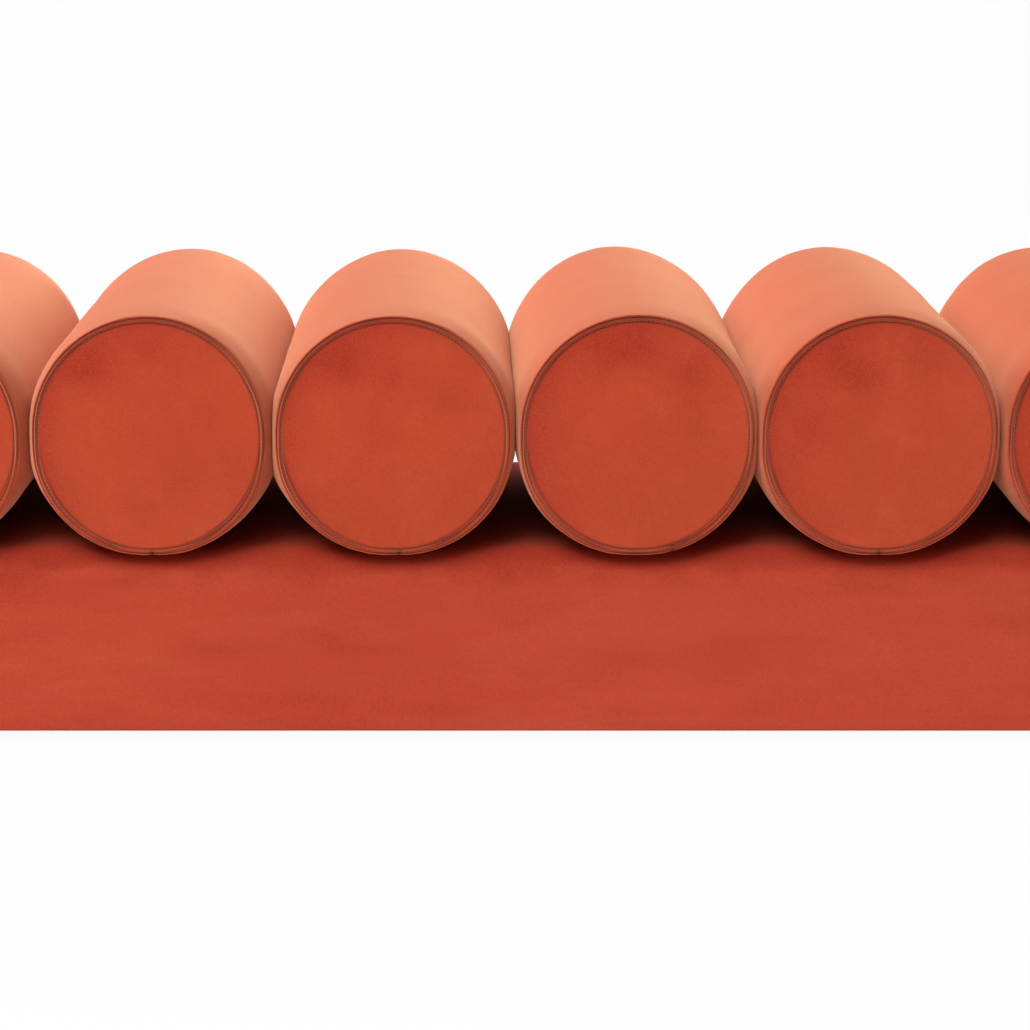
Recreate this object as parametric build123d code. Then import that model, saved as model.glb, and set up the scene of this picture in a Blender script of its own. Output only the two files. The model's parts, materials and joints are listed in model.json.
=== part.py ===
"""Upholstered bench: six velvet rolls lying across a low upholstered plinth, on levelling feet.

Millimetres. X runs along the bench, Y from front (-Y) to back (+Y), Z up.
The origin is on the floor, under the middle of the bench.
"""
from build123d import *
import os

# Rolls
roll_count = 6
roll_pitch = 254.0
roll_gap = 0.6
roll_height = 260.0
roll_length = 508.0
roll_foot_width = 16.0
roll_side_flat = 14.6
roll_end_crown = 3.0
roll_end_draw = 2.2
roll_draw_length = 54.0
roll_edge_radius = 3.6
roll_seat_clearance = 0.3
roll_end_region_depth = 127.0
# Where the pulled-in ends' cross-sections stand, as shares of the drawn length, from the end inwards
draw_station_shares = [1 / 3, 2 / 3, 1]

# Roll covers and fillings
cover_thickness = 1.5
wadding_thickness = 6.0
seam_inset = 6.2
seam_band_width = 3.6
seam_band_rise = 0.9
seam_groove_width = 1.2
seam_groove_depth = 0.7
foam_clearance = 0.2

# Roll mounting boards
board_width = 60.0
board_thickness = 18.0
board_end_margin = 24.0
board_pocket_clearance = 0.3

# Plinth
plinth_length = 1500.0
plinth_depth = 484.0
plinth_height = 192.0
plinth_corner_radius = 30.0
plinth_top_radius = 26.0
plinth_end_seam_inset = 2.0
plinth_end_corner_radius = 12.0
side_foam_thickness = 10.0
pad_foam_thickness = 25.0
return_width = 42.0
dust_cover_thickness = 1.0
dust_cover_inset = 12.0

# Timber frame
rail_thickness = 21.0
deck_thickness = 15.0
stretcher_height = 100.0
block_length = 70.0
block_width = 64.0
block_height = 40.0
block_screw_margin = 14.0
block_screw_bite = 14.0

# Levelling feet
foot_gap = 13.0
foot_pad_diameter = 34.0
foot_pad_height = 6.0
foot_pad_edge = 1.5
foot_hex_across_flats = 13.0
foot_hex_height = 4.0
foot_neck_diameter = 6.0
foot_neck_depth = 3.0
foot_neck_clearance = 0.05
foot_socket_spare = 0.3
foot_stem_length = 40.0
foot_dust_hole_diameter = 24.0
foot_block_hole_extra = 6.0

# Machine thread, bolts, washers and tee nuts
thread_diameter = 8.0
thread_clearance = 0.05
bolt_length = 70.0
bolt_spacing = 300.0
bolt_hole_diameter = 9.0
bolt_head_across_flats = 13.0
bolt_head_height = 5.3
washer_diameter = 24.0
washer_thickness = 1.6
tee_flange_diameter = 22.0
tee_flange_thickness = 1.5
tee_barrel_diameter = 10.0
tee_barrel_length = 11.0
pad_hole_diameter = 14.0

# Wood screws
screw_diameter = 4.0
screw_head_diameter = 8.0
screw_head_height = 2.6
screw_clearance = 0.05
screw_tip_length = 4.0
deck_screw_length = 45.0
frame_screw_length = 60.0
block_screw_length = 50.0
deck_screws_per_rail = 8
screw_edge_margin = 60.0
# Heights of the frame's end-grain screws, as shares of the end rails' and the stretchers' heights
end_rail_screw_shares = [0.42, 0.8]
stretcher_screw_shares = [0.25, 0.75]

# Staples
staple_crown = 11.0
staple_leg = 9.0
staple_wire = 1.0
staple_pitch = 64.0

overrun = 5.0

# Places worked out from the sizes above
roll_width = roll_pitch - roll_gap
roll_crown_centre = roll_height - roll_width / 2
roll_heel_reach = roll_width / 2 - roll_foot_width / 2
roll_heel_rise = roll_crown_centre - roll_side_flat
roll_end_radius = ((roll_width / 2) ** 2 + roll_end_crown ** 2) / (2 * roll_end_crown)
roll_places = [(i - (roll_count - 1) / 2) * roll_pitch for i in range(roll_count)]

plinth_bottom = foot_gap
plinth_top = plinth_bottom + plinth_height
roll_base = plinth_top + roll_seat_clearance
return_bottom = plinth_bottom + dust_cover_thickness
frame_bottom = return_bottom + cover_thickness
deck_top = plinth_top - cover_thickness - pad_foam_thickness
frame_top = deck_top - deck_thickness
frame_length = plinth_length - 2 * (cover_thickness + side_foam_thickness)
frame_depth = plinth_depth - 2 * (cover_thickness + side_foam_thickness)
rail_height = frame_top - frame_bottom
inner_length = frame_length - 2 * rail_thickness
inner_depth = frame_depth - 2 * rail_thickness

board_length = roll_length - 2 * board_end_margin
board_bottom = roll_base + cover_thickness + wadding_thickness
board_top = board_bottom + board_thickness

foot_x = inner_length / 2 - block_length / 2
foot_y = inner_depth / 2 - block_width / 2
foot_places = [(x, y) for y in (-foot_y, foot_y) for x in (-foot_x, 0, foot_x)]
block_screw_recess = block_width + block_screw_bite - block_screw_length
stretcher_places = [(a + b) / 2 for a, b in zip(roll_places, roll_places[1:])]
bolt_places = [(x, y) for x in roll_places for y in (-bolt_spacing / 2, bolt_spacing / 2)]


def block(length, depth, low, high, x=0.0, y=0.0):
    """A square-edged block standing between two heights."""
    centre = Pos(x, y, (low + high) / 2)
    return centre * Box(length, depth, high - low)


def rod(diameter, low, high, x=0.0, y=0.0):
    """An upright round rod, or the space that it leaves."""
    return Pos(x, y, (low + high) / 2) * Cylinder(diameter / 2, high - low)


def group(shapes):
    """Separate solids in one node."""
    return Compound(children=[solid for shape in shapes for solid in shape.solids()])


# Rolls

def roll_outline(inset):
    """Cross-section of a roll, drawn in by inset: round on top, pressed flat at the sides and under."""
    side = roll_width / 2 - inset
    reach, rise = roll_heel_reach - inset, roll_heel_rise - inset
    foot = roll_foot_width / 2
    crown = CenterArc((0, roll_crown_centre), side, 0, 180)
    left = Line((-side, roll_crown_centre), (-side, roll_heel_rise))
    left_heel = EllipticalCenterArc((-foot, roll_heel_rise), reach, rise, 180, arc_size=90)
    under = Line((-foot, inset), (foot, inset))
    right_heel = EllipticalCenterArc((foot, roll_heel_rise), reach, rise, 270, arc_size=90)
    right = Line((side, roll_heel_rise), (side, roll_crown_centre))
    return make_face(Plane.XZ * (crown + left + left_heel + under + right_heel + right))


def roll_prism(inset, length):
    """The outline carried straight through the roll, centred on it."""
    return extrude(roll_outline(inset), length / 2, both=True)


def roll_body(inset):
    """The roll's length drawn in by inset, its sides straight in the middle and pulled in near both ends."""
    draw_stations = [-overrun] + [roll_draw_length * share for share in draw_station_shares]
    sections = []
    for side in (-1, 1):
        for station in draw_stations[::-side]:
            draw = roll_end_draw * (1 - station / roll_draw_length) ** 2
            sections.append(Pos(0, side * (roll_length / 2 - station), 0) * roll_outline(inset + draw))
    return loft(sections, ruled=True)


def roll_crowning(inset, rise=0.0):
    """The space between the two crowned end surfaces, drawn in by inset and pushed out by rise."""
    centre_y = roll_end_radius - roll_length / 2
    ball = Sphere(roll_end_radius - inset + rise)
    front = Pos(0, centre_y, roll_height / 2) * ball
    back = Pos(0, -centre_y, roll_height / 2) * ball
    return front & back


def roll_form(inset, edge):
    """The whole roll drawn in by inset, with its end edges rounded."""
    form = roll_body(inset) & roll_crowning(inset)
    if edge <= 0:
        return form
    end_faces = [f for f in form.faces() if f.geom_type == GeomType.SPHERE]
    return fillet([edge for face in end_faces for edge in face.edges()], edge)


def roll_shell():
    """The velvet of one roll: tube and both end panels, before they are parted at the seams."""
    inner_edge = roll_edge_radius - cover_thickness
    return roll_form(0, roll_edge_radius) - roll_form(cover_thickness, inner_edge)


def end_region(side):
    """The space in front of (side -1) or behind (side 1) the roll that its end panel fills."""
    depth = roll_end_region_depth
    region = extrude(roll_outline(seam_inset), depth / 2, both=True)
    return Pos(0, side * (roll_length / 2 + overrun - depth / 2), 0) * region


def seam_band(side):
    """The raised, topstitched seam allowance round an end panel, and the stitch groove inside it."""
    band_inner = seam_inset + seam_band_width
    ring = roll_prism(seam_inset, roll_length + overrun) - roll_prism(band_inner, roll_length + 2 * overrun)
    ring = ring & roll_crowning(0, seam_band_rise)
    ring = ring - roll_crowning(cover_thickness / 2)
    return ring & end_region(side)


def stitch_groove():
    """The shallow channel that the topstitching pulls into the velvet beside the band."""
    outer = seam_inset + seam_band_width
    ring = roll_prism(outer, roll_length + overrun) - roll_prism(outer + seam_groove_width, roll_length + 2 * overrun)
    return ring - roll_crowning(seam_groove_depth)


def bolt_holes_in_roll(diameter):
    """Upright holes in a roll's underside for its two bolts."""
    top = board_bottom - roll_base + overrun
    return [rod(diameter, -overrun, top, 0, y) for y in (-bolt_spacing / 2, bolt_spacing / 2)]


def roll_covers():
    """Tube, front panel and back panel of one roll, at X 0 with its underside at Z 0."""
    shell = roll_shell()
    front_region, back_region = end_region(-1), end_region(1)
    tube = shell - front_region - back_region - bolt_holes_in_roll(bolt_hole_diameter)
    groove = stitch_groove()
    front = (shell & front_region) + seam_band(-1) - groove
    back = (shell & back_region) + seam_band(1) - groove
    return tube, front, back


def roll_wadding():
    """The soft wrap between foam and velvet."""
    outside = cover_thickness
    inside = cover_thickness + wadding_thickness
    wrap = roll_form(outside, roll_edge_radius - cover_thickness) - roll_form(inside, 0)
    return wrap - bolt_holes_in_roll(bolt_hole_diameter)


def roll_foam():
    """The foam core, with the pocket that its mounting board is glued into."""
    inside = cover_thickness + wadding_thickness
    core = roll_form(inside + foam_clearance, 0)
    low, high = -overrun, board_top - roll_base + board_pocket_clearance
    spare = 2 * board_pocket_clearance
    core -= block(board_width + spare, board_length + spare, low, high)
    flange_top = high + tee_flange_thickness
    width = tee_flange_diameter + spare
    for y in (-bolt_spacing / 2, bolt_spacing / 2):
        core -= rod(width, low, flange_top, 0, y)
    return core


def roll_board():
    """The plywood board that the bolts pull a roll down by, its lower edges planed to the roll's curve."""
    low, high = board_bottom - roll_base, board_top - roll_base
    plank = block(board_width, board_length, low, high)
    plank &= roll_body(cover_thickness + wadding_thickness)
    hole = tee_barrel_diameter + 2 * screw_clearance
    for y in (-bolt_spacing / 2, bolt_spacing / 2):
        plank -= rod(hole, low - overrun, high + overrun, 0, y)
    return plank


# Bolts, washers and tee nuts

def tee_nut():
    """A tee nut with its flange's flat back at Z 0 and its barrel hanging down from it."""
    nut = rod(tee_flange_diameter, 0, tee_flange_thickness)
    nut += rod(tee_barrel_diameter, -tee_barrel_length, 0)
    return nut - rod(thread_diameter + 2 * thread_clearance, -tee_barrel_length - overrun, overrun)


def hex_prism(across_flats, low, high, x=0.0, y=0.0):
    """A hexagonal head standing between two heights."""
    face = RegularPolygon(across_flats / 2, 6, major_radius=False)
    return Pos(x, y, low) * extrude(face, high - low)


def roll_bolt(x, y):
    """A hex bolt from under the deck into a roll's tee nut."""
    seat = frame_top - washer_thickness
    head = hex_prism(bolt_head_across_flats, seat - bolt_head_height, seat, x, y)
    return head + rod(thread_diameter, seat, seat + bolt_length, x, y)


def roll_washer(x, y):
    """A broad washer between bolt head and deck."""
    ring = rod(washer_diameter, frame_top - washer_thickness, frame_top, x, y)
    return ring - rod(bolt_hole_diameter, frame_top - overrun, frame_top + overrun, x, y)


# Wood screws and where they go

def screw(length, spare=0.0):
    """A countersunk screw pointing down from Z 0, or with spare the hole that it cuts."""
    head = screw_head_diameter / 2 + spare
    shank = screw_diameter / 2 + spare
    profile = Polyline(
        (0, 0),
        (head, 0),
        (shank, -screw_head_height),
        (shank, -length + screw_tip_length),
        (0, -length - spare),
        close=True,
    )
    return revolve(make_face(Plane.XZ * profile), Axis.Z)


def deck_screw_places():
    """Screws down through the deck into the long rails and the end rails."""
    y = frame_depth / 2 - rail_thickness / 2
    span = frame_length - 2 * screw_edge_margin
    step = span / (deck_screws_per_rail - 1)
    along = [-span / 2 + i * step for i in range(deck_screws_per_rail)]
    places = [Pos(x, side * y, deck_top) for side in (-1, 1) for x in along]
    x = frame_length / 2 - rail_thickness / 2
    return places + [Pos(side * x, 0, deck_top) for side in (-1, 1)]


def frame_screw_places():
    """Screws through the long rails into the ends of the end rails and stretchers."""
    end_x = frame_length / 2 - rail_thickness / 2
    stretcher_low = frame_top - stretcher_height
    end_heights = [frame_bottom + rail_height * share for share in end_rail_screw_shares]
    stretcher_heights = [stretcher_low + stretcher_height * share for share in stretcher_screw_shares]
    spots = [(x, z) for x in (-end_x, end_x) for z in end_heights]
    spots += [(x, z) for x in stretcher_places for z in stretcher_heights]
    places = []
    for x, z in spots:
        places.append(Pos(x, -frame_depth / 2, z) * Rot(90, 0, 0))
        places.append(Pos(x, frame_depth / 2, z) * Rot(-90, 0, 0))
    return places


def block_screw_places():
    """Screws out through each foot block into the long rail beside it."""
    places = []
    height = frame_bottom + block_height / 2
    reach = block_length / 2 - block_screw_margin
    for x, y in foot_places:
        side = 1 if y > 0 else -1
        face = y - side * block_width / 2
        for offset in (-reach, reach):
            turn = Rot(90, 0, 0) if side > 0 else Rot(-90, 0, 0)
            places.append(Pos(x + offset, face + side * block_screw_recess, height) * turn)
    return places


def screws(places, length):
    """One screw at each place."""
    shape = screw(length)
    return [place * shape for place in places]


def screw_holes(places, length):
    """The holes that those screws sit in."""
    shape = screw(length, screw_clearance)
    return [place * shape for place in places]


# Plinth frame

def long_rail(side, holes):
    """The front (side -1) or back (side 1) rail."""
    y = side * (frame_depth - rail_thickness) / 2
    return block(frame_length, rail_thickness, frame_bottom, frame_top, 0, y) - holes


def end_rail(side, holes):
    """The left (side -1) or right (side 1) rail, fitted between the long rails."""
    x = side * (frame_length - rail_thickness) / 2
    return block(rail_thickness, inner_depth, frame_bottom, frame_top, x) - holes


def cross_stretcher(x, holes):
    """A stretcher under the deck, midway between two rolls."""
    return block(rail_thickness, inner_depth, frame_top - stretcher_height, frame_top, x) - holes


def foot_block(x, y, holes):
    """A block glued into the frame that carries a levelling foot's tee nut."""
    body = block(block_length, block_width, frame_bottom, frame_bottom + block_height, x, y)
    flange = tee_flange_diameter + 2 * screw_clearance
    barrel = tee_barrel_diameter + 2 * screw_clearance
    body -= rod(flange, frame_bottom - overrun, frame_bottom + tee_flange_thickness, x, y)
    body -= rod(barrel, frame_bottom, frame_bottom + block_height + overrun, x, y)
    return body - holes


def deck(holes):
    """The plywood deck, drilled for the rolls' bolts."""
    panel = block(frame_length, frame_depth, frame_top, deck_top)
    for x, y in bolt_places:
        panel -= rod(bolt_hole_diameter, frame_top - overrun, deck_top + overrun, x, y)
    return panel - holes


# Plinth upholstery

def plinth_form(inset, bottom):
    """The plinth's outer shape drawn in by inset, standing on bottom."""
    radius = plinth_corner_radius - inset
    face = RectangleRounded(plinth_length - 2 * inset, plinth_depth - 2 * inset, radius)
    body = Pos(0, 0, bottom) * extrude(face, plinth_top - inset - bottom)
    rim = body.faces().sort_by(Axis.Z)[-1].edges()
    return fillet(rim, plinth_top_radius - inset)


def frame_space():
    """What frame and deck fill, and the open space under them."""
    return block(frame_length, frame_depth, frame_bottom - overrun, deck_top)


def deck_pad():
    """The foam pad on the deck, with its edges rounded and holes for the bolts."""
    above = block(2 * plinth_length, 2 * plinth_depth, deck_top, plinth_top + overrun)
    pad = plinth_form(cover_thickness, frame_bottom) & above
    for x, y in bolt_places:
        pad -= rod(pad_hole_diameter, deck_top - overrun, plinth_top + overrun, x, y)
    return pad


def side_foam():
    """Foam strips glued to the front, back and ends of the frame."""
    below = block(2 * plinth_length, 2 * plinth_depth, frame_bottom, deck_top)
    jacket = (plinth_form(cover_thickness, frame_bottom) & below) - frame_space()
    reach = plinth_depth / 2
    strips = []
    for side in (-1, 1):
        y = side * (frame_depth / 2 + reach / 2)
        strips.append(jacket & block(2 * plinth_length, reach, frame_bottom, deck_top, 0, y))
        x = side * (frame_length / 2 + reach / 2)
        strips.append(jacket & block(reach, frame_depth, frame_bottom, deck_top, x))
    return group(strips)


def plinth_shell():
    """All of the plinth's velvet: sides, top and the strip folded under and stapled."""
    wall = plinth_form(0, return_bottom) - plinth_form(cover_thickness, return_bottom - overrun)
    outer = RectangleRounded(plinth_length, plinth_depth, plinth_corner_radius)
    window = Rectangle(plinth_length - 2 * return_width, plinth_depth - 2 * return_width)
    under = Pos(0, 0, return_bottom) * extrude(outer - window, cover_thickness)
    shell = wall + under
    for x, y in bolt_places:
        shell -= rod(bolt_hole_diameter, plinth_top - 2 * cover_thickness, plinth_top + overrun, x, y)
    return shell


def end_panel_region(side):
    """The space that an end panel fills: the flat of the end, and the strip folded under it."""
    width = plinth_depth - 2 * (plinth_corner_radius + plinth_end_seam_inset)
    high = plinth_top - plinth_top_radius - plinth_end_seam_inset
    x = side * (plinth_length / 2 + overrun - return_width)
    region = block(2 * return_width, width, plinth_bottom, high, x)
    crown = region.edges().filter_by(Axis.X).group_by(Axis.Z)[-1]
    return fillet(crown, plinth_end_corner_radius)


def plinth_covers():
    """The wrap over front, top and back, and the two end panels sewn into it."""
    shell = plinth_shell()
    left, right = end_panel_region(-1), end_panel_region(1)
    return shell - left - right, shell & left, shell & right


def dust_cover():
    """The black cloth under the plinth, cut out round each foot."""
    radius = plinth_corner_radius - dust_cover_inset
    face = RectangleRounded(plinth_length - 2 * dust_cover_inset, plinth_depth - 2 * dust_cover_inset, radius)
    sheet = Pos(0, 0, plinth_bottom) * extrude(face, dust_cover_thickness)
    for x, y in foot_places:
        sheet -= rod(foot_dust_hole_diameter, plinth_bottom - overrun, return_bottom + overrun, x, y)
    return sheet


def staple():
    """A staple lying along X, with its crown under Z 0 and its legs pointing up."""
    crown = block(staple_crown, staple_wire, -staple_wire, 0)
    reach = (staple_crown - staple_wire) / 2
    for x in (-reach, reach):
        crown += block(staple_wire, staple_wire, -staple_wire, staple_leg, x)
    return crown


def row(length, pitch):
    """Evenly spaced places along a length, about pitch apart, centred on zero."""
    count = max(2, round(length / pitch))
    step = length / count
    return [(i - (count - 1) / 2) * step for i in range(count)]


def staple_places():
    """Staples round the underside, through dust cover and velvet into the rails."""
    y = frame_depth / 2 - rail_thickness / 2
    x = frame_length / 2 - rail_thickness / 2
    places = [Pos(p, side * y, plinth_bottom) for side in (-1, 1) for p in row(inner_length, staple_pitch)]
    for side in (-1, 1):
        for p in row(inner_depth - rail_thickness, staple_pitch):
            places.append(Pos(side * x, p, plinth_bottom) * Rot(0, 0, 90))
    return places


# Levelling feet

def foot_pad(x, y):
    """The moulded pad of a levelling foot, with the socket that the stem's neck turns in."""
    pad = rod(foot_pad_diameter, 0, foot_pad_height, x, y)
    pad = fillet(pad.edges().group_by(Axis.Z)[-1], foot_pad_edge)
    socket = foot_neck_diameter + 2 * foot_neck_clearance
    floor = foot_pad_height - foot_neck_depth - foot_socket_spare
    return pad - rod(socket, floor, foot_pad_height + overrun, x, y)


def foot_stem(x, y):
    """The threaded stem of a levelling foot, with its hexagon and the neck that turns in the pad."""
    hex_top = foot_pad_height + foot_hex_height
    stem = hex_prism(foot_hex_across_flats, foot_pad_height, hex_top, x, y)
    stem += rod(foot_neck_diameter, foot_pad_height - foot_neck_depth, foot_pad_height, x, y)
    return stem + rod(thread_diameter, hex_top, hex_top + foot_stem_length, x, y)


def foot_tee_nut(x, y):
    """The tee nut let into the underside of a foot block, barrel up."""
    return Pos(x, y, frame_bottom + tee_flange_thickness) * Rot(180, 0, 0) * tee_nut()


def build():
    """Every node of the bench, by name."""
    nodes = {}
    tube, front, back = roll_covers()
    wadding, foam = roll_wadding(), roll_foam()
    for number, x in enumerate(roll_places, 1):
        seat = Pos(x, 0, roll_base)
        nodes[f"roll_{number}_tube_cover"] = seat * tube
        nodes[f"roll_{number}_front_panel"] = seat * front
        nodes[f"roll_{number}_back_panel"] = seat * back
        nodes[f"roll_{number}_foam_core"] = seat * foam
    board = roll_board()
    nodes["roll_boards"] = group(Pos(x, 0, roll_base) * board for x in roll_places)
    nodes["roll_waddings"] = group(Pos(x, 0, roll_base) * wadding for x in roll_places)
    nodes["roll_tee_nuts"] = group(Pos(x, y, board_top) * tee_nut() for x, y in bolt_places)
    nodes["roll_bolts"] = group(roll_bolt(x, y) for x, y in bolt_places)
    nodes["roll_washers"] = group(roll_washer(x, y) for x, y in bolt_places)

    deck_places, frame_places, block_places = deck_screw_places(), frame_screw_places(), block_screw_places()
    deck_holes = screw_holes(deck_places, deck_screw_length)
    frame_holes = screw_holes(frame_places, frame_screw_length)
    block_holes = screw_holes(block_places, block_screw_length)
    rail_holes = deck_holes + frame_holes + block_holes
    nodes["front_rail"] = long_rail(-1, rail_holes)
    nodes["back_rail"] = long_rail(1, rail_holes)
    nodes["left_end_rail"] = end_rail(-1, deck_holes + frame_holes)
    nodes["right_end_rail"] = end_rail(1, deck_holes + frame_holes)
    nodes["cross_stretchers"] = group(cross_stretcher(x, frame_holes) for x in stretcher_places)
    nodes["foot_blocks"] = group(foot_block(x, y, block_holes) for x, y in foot_places)
    nodes["deck_panel"] = deck(deck_holes)
    nodes["deck_screws"] = group(screws(deck_places, deck_screw_length))
    nodes["frame_screws"] = group(screws(frame_places, frame_screw_length))
    nodes["block_screws"] = group(screws(block_places, block_screw_length))

    nodes["deck_pad"] = deck_pad()
    nodes["side_foam"] = side_foam()
    wrap, left_end, right_end = plinth_covers()
    nodes["plinth_wrap_cover"] = wrap
    nodes["plinth_left_end_cover"] = left_end
    nodes["plinth_right_end_cover"] = right_end
    nodes["dust_cover"] = dust_cover()
    nodes["staples"] = group(place * staple() for place in staple_places())

    nodes["foot_tee_nuts"] = group(foot_tee_nut(x, y) for x, y in foot_places)
    for number, (x, y) in enumerate(foot_places, 1):
        nodes[f"foot_{number}_pad"] = foot_pad(x, y)
        nodes[f"foot_{number}_stem"] = foot_stem(x, y)
    return nodes


os.makedirs("parts", exist_ok=True)
for name, shape in build().items():
    export_step(shape, f"parts/{name}.step")
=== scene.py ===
"""Dresses the upholstered bench: six velvet bolster rolls bolted on a velvet plinth."""

from __future__ import annotations

import json
import logging
from collections.abc import Callable
from dataclasses import dataclass, field
from enum import Enum
from math import cos, pi, radians, sin, tau

import bpy
import numpy as np
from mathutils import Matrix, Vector, noise

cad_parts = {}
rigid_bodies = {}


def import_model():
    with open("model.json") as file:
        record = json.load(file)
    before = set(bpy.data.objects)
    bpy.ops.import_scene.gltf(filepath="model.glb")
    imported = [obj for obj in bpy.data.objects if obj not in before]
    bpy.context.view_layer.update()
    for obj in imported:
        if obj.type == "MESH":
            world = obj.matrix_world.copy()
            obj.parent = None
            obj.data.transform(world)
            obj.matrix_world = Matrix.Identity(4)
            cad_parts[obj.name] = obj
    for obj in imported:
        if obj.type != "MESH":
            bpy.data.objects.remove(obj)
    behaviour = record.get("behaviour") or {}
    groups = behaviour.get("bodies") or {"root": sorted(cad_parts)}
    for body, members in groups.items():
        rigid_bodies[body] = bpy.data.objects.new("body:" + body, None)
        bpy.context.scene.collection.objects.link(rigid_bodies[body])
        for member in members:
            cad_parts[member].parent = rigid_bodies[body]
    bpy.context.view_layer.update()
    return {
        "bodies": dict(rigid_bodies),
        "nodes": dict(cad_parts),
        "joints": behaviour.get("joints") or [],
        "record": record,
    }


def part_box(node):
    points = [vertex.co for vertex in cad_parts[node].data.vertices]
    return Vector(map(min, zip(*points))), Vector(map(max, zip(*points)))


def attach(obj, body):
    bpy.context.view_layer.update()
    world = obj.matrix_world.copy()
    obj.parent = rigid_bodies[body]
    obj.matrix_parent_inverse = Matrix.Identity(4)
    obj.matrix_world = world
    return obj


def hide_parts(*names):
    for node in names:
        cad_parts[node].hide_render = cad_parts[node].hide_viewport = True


LOG = logging.getLogger("bench")
MM = 0.001
# Closer than this, in metres, two places on a piece are the same
SAME_PLACE = 1e-5
# What the velvet reads at each vertex: how dark its pile lies, partly painted shade, and how dark
# its seams are, with painted shade in their grooves
NAP_AND_SHADE = "nap_and_shade"
SEAM_AND_SHADE = "seam"


class Slot(Enum):
    """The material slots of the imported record."""

    ROLL_VELVET = "roll_velvet"
    PLINTH_VELVET = "plinth_velvet"
    FOAM = "foam"
    WADDING = "wadding"
    PLYWOOD = "plywood"
    PINE = "pine"
    DUST_CLOTH = "dust_cloth"
    FOOT_PLASTIC = "foot_plastic"
    SCREW_STEEL = "screw_steel"
    STAPLE_WIRE = "staple_wire"
    ZINC_STEEL = "zinc_steel"


class End(Enum):
    """The two ends of a roll, as the sign of Y that they face."""

    FRONT = -1
    BACK = 1


# Node trees


class Tree:
    """A material's node tree, with short ways to add nodes and joins."""

    def __init__(self, name: str) -> None:
        """Start a material with an empty tree.

        Args:
            name: the material's name.
        """
        self.material = bpy.data.materials.new(name)
        self.material.use_nodes = True
        self.tree = self.material.node_tree
        self.tree.nodes.clear()
        self.output = self.add("ShaderNodeOutputMaterial")

    def add(self, kind: str, **sockets: object) -> bpy.types.Node:
        """Add a node and set or join its inputs.

        Args:
            kind: the node's type.
            sockets: input names, with underscores for spaces, and a value or an output socket.

        Returns:
            The node.
        """
        node = self.tree.nodes.new(kind)
        for name, value in sockets.items():
            socket = node.inputs[name.replace("_", " ")]
            if isinstance(value, bpy.types.NodeSocket):
                self.tree.links.new(value, socket)
            else:
                socket.default_value = value
        return node

    def place(self, stretch: tuple[float, float, float] = (1.0, 1.0, 1.0)) -> bpy.types.NodeSocket:
        """The surface point in metres, stretched along the axes."""
        point = self.add("ShaderNodeTexCoord").outputs["Object"]
        return self.add("ShaderNodeMapping", Vector=point, Scale=stretch).outputs["Vector"]

    def noise(self, place: bpy.types.NodeSocket, scale: float, detail: float = 3.0,
              roughness: float = 0.5) -> bpy.types.NodeSocket:
        """Soft noise from 0 to 1, with scale in cells to the metre."""
        node = self.add("ShaderNodeTexNoise", Vector=place, Scale=scale, Detail=detail,
                        Roughness=roughness)
        return node.outputs["Fac"]

    def ramp(self, value: bpy.types.NodeSocket, low: float, high: float,
             out: tuple[float, float] = (0.0, 1.0)) -> bpy.types.NodeSocket:
        """Take low..high of a value to the out range, without going past it."""
        node = self.add("ShaderNodeMapRange", Value=value, From_Min=low, From_Max=high,
                        To_Min=out[0], To_Max=out[1])
        node.clamp = True
        return node.outputs["Result"]

    def mix(self, share: object, one: object, two: object) -> bpy.types.NodeSocket:
        """Mix two colours.

        Args:
            share: how much of the second, as a number or a socket.
            one: the first colour or socket.
            two: the second colour or socket.

        Returns:
            The mixed colour.
        """
        node = self.tree.nodes.new("ShaderNodeMix")
        node.data_type = "RGBA"
        sockets = (node.inputs[0], node.inputs[6], node.inputs[7])
        for socket, value in zip(sockets, (share, one, two)):
            if isinstance(value, bpy.types.NodeSocket):
                self.tree.links.new(value, socket)
            elif isinstance(value, tuple):
                socket.default_value = (*value, 1.0)
            else:
                socket.default_value = value
        return node.outputs[2]

    def maths(self, operation: str, one: object, two: object = 0.0) -> bpy.types.NodeSocket:
        """One arithmetic step on two numbers or sockets."""
        node = self.tree.nodes.new("ShaderNodeMath")
        node.operation = operation
        for socket, value in zip(node.inputs, (one, two)):
            if isinstance(value, bpy.types.NodeSocket):
                self.tree.links.new(value, socket)
            else:
                socket.default_value = value
        return node.outputs["Value"]

    def bump(self, height: bpy.types.NodeSocket, depth: float, strength: float,
             under: bpy.types.NodeSocket | None = None) -> bpy.types.NodeSocket:
        """Relief from a height, on top of an earlier relief."""
        node = self.add("ShaderNodeBump", Height=height, Distance=depth, Strength=strength)
        if under is not None:
            self.tree.links.new(under, node.inputs["Normal"])
        return node.outputs["Normal"]

    def finish(self, shader: bpy.types.Node) -> bpy.types.Material:
        """Join the shader to the surface and return the material."""
        self.tree.links.new(shader.outputs[0], self.output.inputs["Surface"])
        return self.material


# Finishes


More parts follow.
